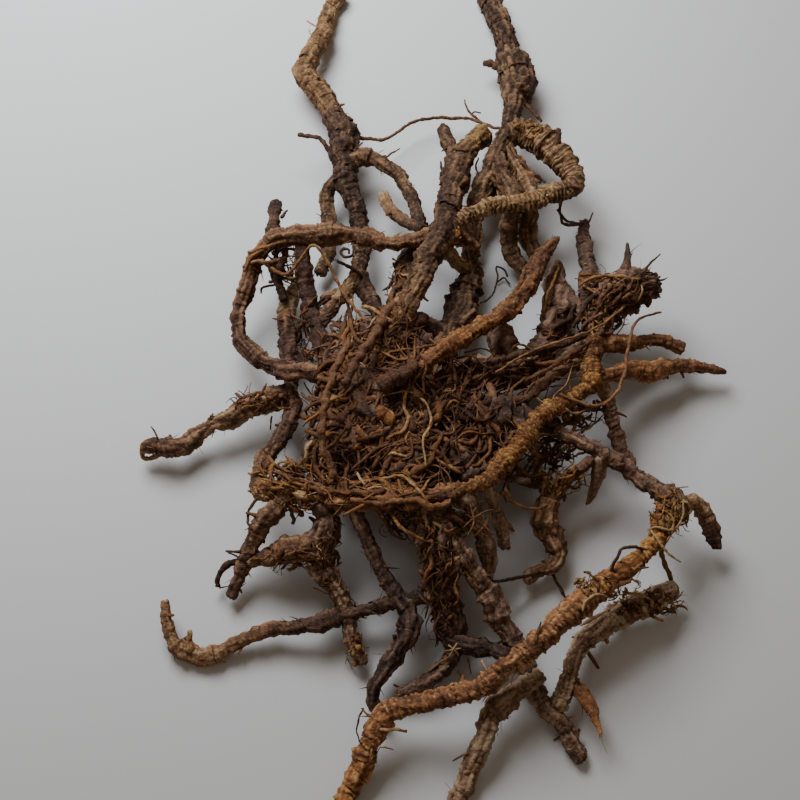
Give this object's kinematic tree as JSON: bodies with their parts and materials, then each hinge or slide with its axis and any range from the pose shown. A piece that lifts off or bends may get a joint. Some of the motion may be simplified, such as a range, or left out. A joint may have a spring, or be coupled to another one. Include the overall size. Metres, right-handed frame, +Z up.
{
  "type": "dried aspidistra rhizome",
  "caption": "Dried clump of long, bent, ringed rhizome arms forking from a crown matted with fine rootlets, lying on a surface.",
  "frame": {"origin": "middle of the clump's box, at the bottom, on the plane that it lies on", "axes": "+Z up; +Y along the clump, from the two front feet towards its two long upper arms; +X to the side where the broken head and the pointed finger are"},
  "size_m": [0.2073, 0.3341, 0.0459],
  "materials": {
    "bark": "matte"
  },
  "bodies": {
    "root": {"rhizome_clump": "bark"}
  },
  "joints": []
}
